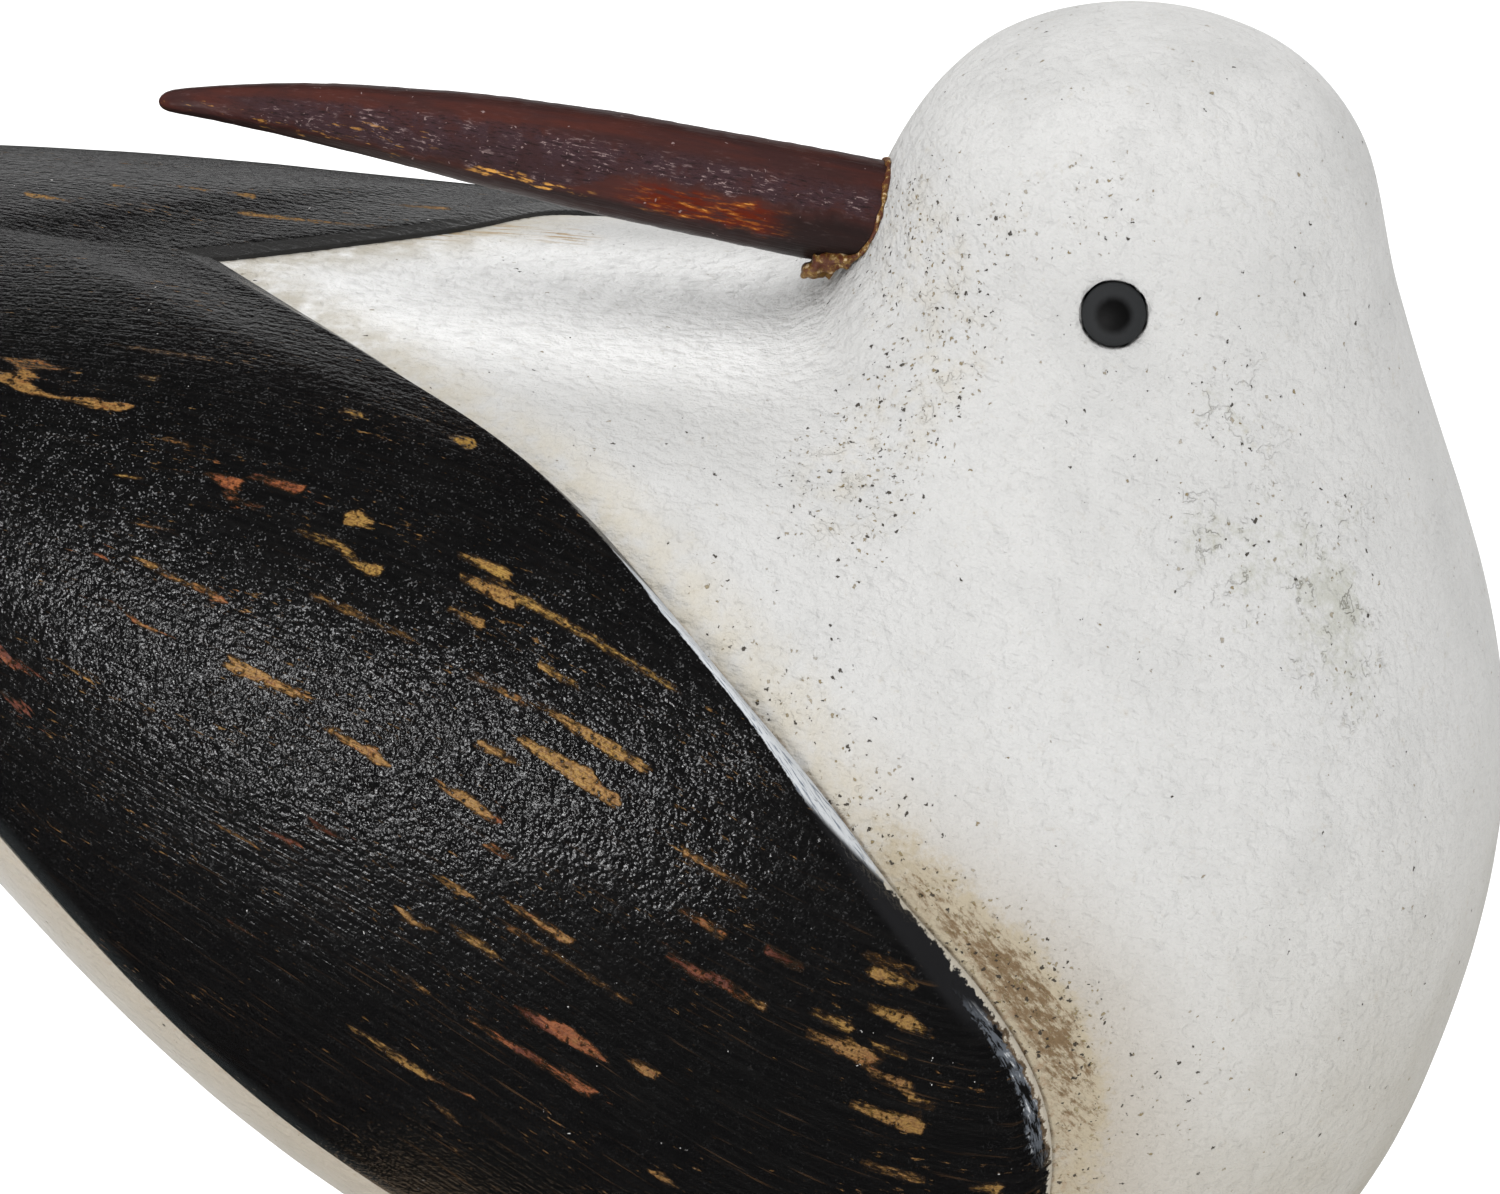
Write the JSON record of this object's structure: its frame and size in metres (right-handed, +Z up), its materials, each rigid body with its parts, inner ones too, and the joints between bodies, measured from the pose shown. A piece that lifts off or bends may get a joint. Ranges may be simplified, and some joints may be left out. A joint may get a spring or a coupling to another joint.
{
  "type": "wooden seagull statue",
  "caption": "Carved and painted wooden seagull with its head turned back over its wings, standing on dowel legs on a low wooden base.",
  "frame": {"origin": "middle of the underside of the base", "axes": "+X the way the breast faces, so the tail and the beak point to -X; +Z up"},
  "size_m": [0.2671, 0.1294, 0.2386],
  "materials": {
    "painted_wood": "worn white paint with charcoal black wings, matt",
    "stained_wood": "red-brown stain, worn, satin",
    "black_bead": "gloss black",
    "bare_wood": "plain weathered wood, matt"
  },
  "bodies": {
    "root": {"body": "painted_wood", "beak": "stained_wood", "eye_near": "black_bead", "eye_far": "black_bead", "leg_near": "stained_wood", "leg_far": "stained_wood", "base": "bare_wood"}
  },
  "joints": []
}
